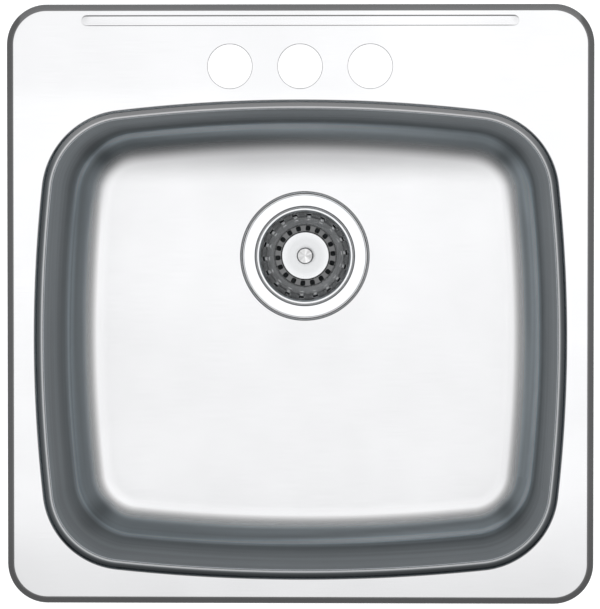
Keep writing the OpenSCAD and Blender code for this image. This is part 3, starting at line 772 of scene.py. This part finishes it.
# Heights below the basket's rim and distances from its axis, in mm. A slot is rounded at its ends,
# so at its sides it stops short, at the end values.
WALL_SLOT_TOP, WALL_SLOT_LOW = -9.55, -15.85
WALL_END_TOP, WALL_END_LOW = WALL_SLOT_TOP - 0.6, WALL_SLOT_LOW + 0.6
FLOOR_SLOT_OUT, FLOOR_SLOT_IN = 28.1, 23.6
FLOOR_END_OUT, FLOOR_END_IN = 27.4, 24.2
WALL_LOW = -17.5
FLOOR_HIGH = -22


def basket_path(top):
    """The basket's sheet from its rim inwards, with marks where slots and grooves begin and end."""
    path = rounded([(45.2, 0, 0), (42.8, 0, 0.8), (41.4, -1.3, 0.8), (37.2, -19, 2.4),
                    (36, -22.4, 1.2), (34.3, -24.2, 1.5), (28.5, -28, 2), (23, -28.8, 0.5),
                    (22, -27.5, 0.5), (12, -27.5, 0), (3.15, -27.5, 0)], 6)
    path = [(p[0], p[1]) for p in path]
    marks = [(1, at) for at in (WALL_SLOT_TOP, WALL_END_TOP, WALL_END_LOW, WALL_SLOT_LOW)]
    marks += [(0, at) for at in (33.6, 28.6, FLOOR_SLOT_OUT, FLOOR_END_OUT, FLOOR_END_IN,
                                 FLOOR_SLOT_IN)]
    for axis, at in marks:
        for i in range(len(path) - 1):
            a, b = path[i], path[i + 1]
            if a[axis] > at > b[axis] and (axis == 1 or a[1] < FLOOR_HIGH):
                t = (a[axis] - at) / (a[axis] - b[axis])
                path.insert(i + 1, (a[0] + (b[0] - a[0]) * t, a[1] + (b[1] - a[1]) * t))
                break
    fine = [path[0]]
    for p in path[1:]:
        q = fine[-1]
        count = max(1, math.ceil(math.dist(p, q) / 1.6))
        for k in range(1, count + 1):
            fine.append((q[0] + (p[0] - q[0]) * k / count, q[1] + (p[1] - q[1]) * k / count))
    return [(x * MM, top + z * MM) for x, z in fine]


def slot_width(depth):
    """Width of the slots at a height below the rim in mm: the wall's are wider than the floor's."""
    return WALL_SLOT_W if depth > WALL_LOW else SLOT_W


def in_slot(r, depth, across):
    """Tells whether a place is open: r and depth in mm, across in metres from a slot's middle."""
    width = slot_width(depth)
    if across > width / 2:
        return False
    beside = across > width * 0.4
    low, high = (WALL_END_LOW, WALL_END_TOP) if beside else (WALL_SLOT_LOW, WALL_SLOT_TOP)
    inner, outer = (FLOOR_END_IN, FLOOR_END_OUT) if beside else (FLOOR_SLOT_IN, FLOOR_SLOT_OUT)
    return low < depth < high or (depth < FLOOR_HIGH and inner < r < outer)


def basket_loop(r, z, top):
    """Points round the basket at one height, denser across its slots than between them."""
    half = math.asin(slot_width((z - top) / MM) / 2 / r) if r > 15 * MM else math.radians(5)
    pressed = 28.3 * MM < r < 33.9 * MM and z < top + FLOOR_HIGH * MM
    loop = []
    for s in range(SLOTS):
        start = SLOT_PHASE + TURN * s / SLOTS
        for c in range(SLOT_COLUMNS + GAP_COLUMNS):
            if c <= SLOT_COLUMNS:
                a = start - half + 2 * half * c / SLOT_COLUMNS
            else:
                rest = TURN / SLOTS - 2 * half
                a = start + half + rest * (c - SLOT_COLUMNS) / GAP_COLUMNS
            dip = CHANNEL_DIP if pressed and 0 < c < SLOT_COLUMNS else 0
            loop.append((r * math.cos(a), DRAIN_Y + r * math.sin(a), z + dip))
    return loop


def build_basket(outer, cut):
    """The pressed basket, with two rings of slots whose cut edges carry painted shade, and pressed channels.
    """
    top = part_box("basket_cup")[1].z
    path = basket_path(top)
    bm = bmesh.new()
    rings = loft(bm, [basket_loop(r, z, top) for r, z in path])
    row = {v: i for i, ring in enumerate(rings) for v in ring}
    open_faces = []
    for face in bm.faces:
        i = min(row[v] for v in face.verts)
        r, z = [(path[i][k] + path[i + 1][k]) / 2 for k in (0, 1)]
        middle = face.calc_center_median()
        a = math.atan2(middle.y - DRAIN_Y, middle.x) - SLOT_PHASE
        off = (a + math.pi / SLOTS) % (TURN / SLOTS) - math.pi / SLOTS
        across = abs(math.hypot(middle.x, middle.y - DRAIN_Y) * math.sin(off))
        if in_slot(r / MM, (z - top) / MM, across):
            open_faces.append(face)
    bmesh.ops.delete(bm, geom=open_faces, context="FACES")
    obj = make_object("strainer_basket", bm, 40)
    if obj.data.polygons[0].normal.z < 0:
        obj.data.flip_normals()
    obj.data.materials.append(outer)
    obj.data.materials.append(cut)
    apply_modifier(obj, "SOLIDIFY", thickness=BASKET_SHEET, offset=-1, use_even_offset=False,
                   material_offset_rim=1)
    return obj


def build_knob():
    """The basket's knob: a turned mushroom with a faint dish in its top."""
    low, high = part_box("basket_knob")
    tall = high.z - low.z
    r = (high.x - low.x) / 2
    corners = [(0.2 * MM, low.z, 0), (r - 3.2 * MM, low.z, 0.4 * MM),
               (r - 3.6 * MM, low.z + tall * 0.35, 3 * MM), (r - 1 * MM, low.z + tall * 0.6, 1 * MM),
               (r, low.z + tall * 0.72, 0.8 * MM), (r, low.z + tall * 0.9, 1 * MM),
               (r - 0.9 * MM, high.z, 0.6 * MM), (r - 4 * MM, high.z - 0.25 * MM, 2 * MM),
               (0.2 * MM, low.z + tall * 0.97, 0)]
    bm = bmesh.new()
    rings = loft(bm, [circle_loop(0, DRAIN_Y, p[0], p[1], 120) for p in rounded(corners, 8)])
    bm.faces.new(rings[0])
    bm.faces.new(rings[-1])
    return make_object("knob", bm, 50)


# ---- Clips, rails and plumbing ---------------------------------------------------------

SCREW_HEAD_H, SHANK_R = 4 * MM, 2.5 * MM


def build_screw(node):
    """A hexagon-head screw with a threaded shank, head down."""
    low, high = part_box(node)
    x, y = (low.x + high.x) / 2, (low.y + high.y) / 2
    head_r = max(high.x - low.x, high.y - low.y) / 2
    head_z = low.z + SCREW_HEAD_H
    turned = 0 if high.x - low.x > high.y - low.y else math.pi / 2
    bm = bmesh.new()
    hexagon = []
    for k in range(6):
        a, b = turned + TURN * k / 6, turned + TURN * (k + 1) / 6
        for u in (step / 8 for step in range(8)):
            hexagon.append(((math.cos(a) * (1 - u) + math.cos(b) * u) * head_r,
                            (math.sin(a) * (1 - u) + math.sin(b) * u) * head_r))
    loops = []
    # Each height has the largest radius there, in mm, which chamfers the hexagon's corners.
    for z, limit in ((low.z, 3.6), (low.z + 0.35 * MM, 4.2), (low.z + 0.8 * MM, 9),
                     (head_z - 0.2 * MM, 9), (head_z, 4.2)):
        loop = []
        for px, py in hexagon:
            k = min(1, limit * MM / math.hypot(px, py))
            loop.append((x + px * k, y + py * k, z))
        loops.append(loop)
    rings = loft(bm, loops)
    bm.faces.new(rings[0])
    bm.faces.new(rings[-1])
    head = make_object(node + "_head", bm, 30)
    path = rounded([(0.05 * MM, head_z - 1 * MM, 0), (SHANK_R, head_z - 1 * MM, 0),
                    (SHANK_R, high.z - 0.5 * MM, 0.3 * MM), (SHANK_R - 0.6 * MM, high.z, 0.2 * MM),
                    (0.05 * MM, high.z, 0)], 3)
    thread = (head_z + 2.5 * MM, high.z, 2.2 * MM, 1.6 * MM, 0.5 * MM)
    shank = screw_lathe(node + "_shank", path, thread, (x, y), 48)
    bm = bmesh.new()
    bm.from_mesh(head.data)
    bm.from_mesh(shank.data)
    for obj in (head, shank):
        bpy.data.objects.remove(obj)
    return make_object(node + "_turned", bm, 35)


def softened(node, width):
    """A CAD node's shape with its sharp edges rounded over a width in mm."""
    bm = bmesh.new()
    bm.from_mesh(frame["nodes"][node].data)
    bmesh.ops.remove_doubles(bm, verts=bm.verts, dist=1e-6)
    bmesh.ops.dissolve_limit(bm, angle_limit=math.radians(0.5), verts=bm.verts, edges=bm.edges)
    obj = make_object(node + "_finished", bm, 30)
    apply_modifier(obj, "BEVEL", width=width * MM, segments=2, limit_method="ANGLE",
                   angle_limit=math.radians(35), miter_outer="MITER_ARC", harden_normals=False)
    obj.data.set_sharp_from_angle(angle=math.radians(40))
    return obj


def body_of(node):
    """The body that a CAD node belongs to."""
    for body, nodes in frame["record"]["behaviour"]["bodies"].items():
        if node in nodes:
            return body


def show(obj, material, node):
    """Gives a piece its material, and lets it stand for a CAD node on that node's body."""
    if material:
        obj.data.materials.clear()
        obj.data.materials.append(material)
    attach(obj, body_of(node))
    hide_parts(node)


def build_all():
    """Makes the materials and shows every CAD node by a finer piece."""
    # Painted shadow: the flange's dark ring from 45.3 to 46.1 mm lies in the gap round the basket's rim, and
    # inside it the steel is a little darker.
    flange = turned_metal("strainer_steel", (0.82, 0.83, 0.84), 0.16,
                          ((44.3, 0.9), (45.3, 0.35), (46.1, 0.35), (46.4, 1)))
    # Painted shade: near-black steel for the strainer's cup and outlet and the basket's cut edges, where they
    # lie in shadow.
    inside = plain_metal("strainer_inside_shade", (0.09, 0.1, 0.105), 0.5)
    # Painted light: the basket's ring of floor slots and its cone are painted darker as shade, the pressed
    # ring beyond the slots is painted lighter as a highlight, and the middle is darker towards the centre.
    basket = turned_metal("basket_steel", (0.79, 0.8, 0.805), 0.2,
                          ((14, 0.82), (21.5, 0.92), (22.2, 0.22), (28, 0.22), (30.5, 1.1), (36, 0.9),
                           (41.8, 0.8), (42.4, 1)))
    # Painted reflection: the knob's spokes stand for its pinwheel highlight.
    knob = turned_metal("knob_steel", (0.84, 0.84, 0.84), 0.14, pinwheel=0.6)
    chrome = plain_metal("tube_chrome", (0.58, 0.59, 0.61), 0.08, 60, 0.02)
    cast = plain_metal("locknut_zinc", (0.42, 0.43, 0.45), 0.42, 500, 0.3)
    plated = plain_metal("clip_steel", (0.56, 0.58, 0.6), 0.3, 300, 0.08)
    rail = plain_metal("rail_steel", (0.58, 0.59, 0.61), 0.34, 250, 0.08)
    screw = plain_metal("screw_steel", (0.66, 0.65, 0.6), 0.26, 400, 0.05)
    black = soft_material("stopper_rubber", (0.025, 0.025, 0.027), 0.55, 700, 0.2)
    gasket = soft_material("gasket_rubber", (0.05, 0.05, 0.052), 0.65, 700, 0.25)
    putty = soft_material("seal_putty", (0.34, 0.33, 0.31), 0.75, 500, 0.35)
    foam = soft_material("seal_foam", (0.16, 0.16, 0.165), 0.9, 1400, 0.6, 0.25)
    pad = soft_material("pad_rubber", (0.1, 0.1, 0.105), 0.85, 420, 0.6, 0.5)
    fibre = soft_material("fibre", (0.42, 0.3, 0.18), 0.8, 1200, 0.4)
    plastic = soft_material("washer_plastic", (0.75, 0.75, 0.72), 0.4, 300, 0.05)

    show(build_shell(), None, "sink_shell")
    show(build_strainer(flange, inside), None, "strainer_body")
    show(build_basket(basket, inside), None, "basket_cup")
    show(build_knob(), knob, "basket_knob")
    finished = {"strainer_crossbar": (flange, 0.25), "basket_post": (knob, 0.3),
                "stopper_washer": (knob, 0.15), "post_spring_clip": (knob, 0.15),
                "tailpiece": (chrome, 0.25), "coupling_nut": (chrome, 0.5),
                "strainer_locknut": (cast, 0.5), "stopper_seal": (black, 0.5),
                "strainer_gasket": (gasket, 0.4), "flange_seal": (putty, 0.2),
                "rim_seal": (foam, 0.2), "sound_pad": (pad, 0.6), "friction_ring": (fibre, 0.15),
                "tailpiece_washer": (plastic, 0.3)}
    for side in ("front", "rear", "left", "right"):
        finished["rail_" + side] = (rail, 0.2)
        finished["clip_strap_" + side] = (plated, 0.25)
        finished["clip_foot_" + side] = (plated, 0.4)
        show(build_screw("clip_screw_" + side), screw, "clip_screw_" + side)
    for node, (material, width) in finished.items():
        show(softened(node, width), material, node)


add_camera()
add_stage()
build_all()
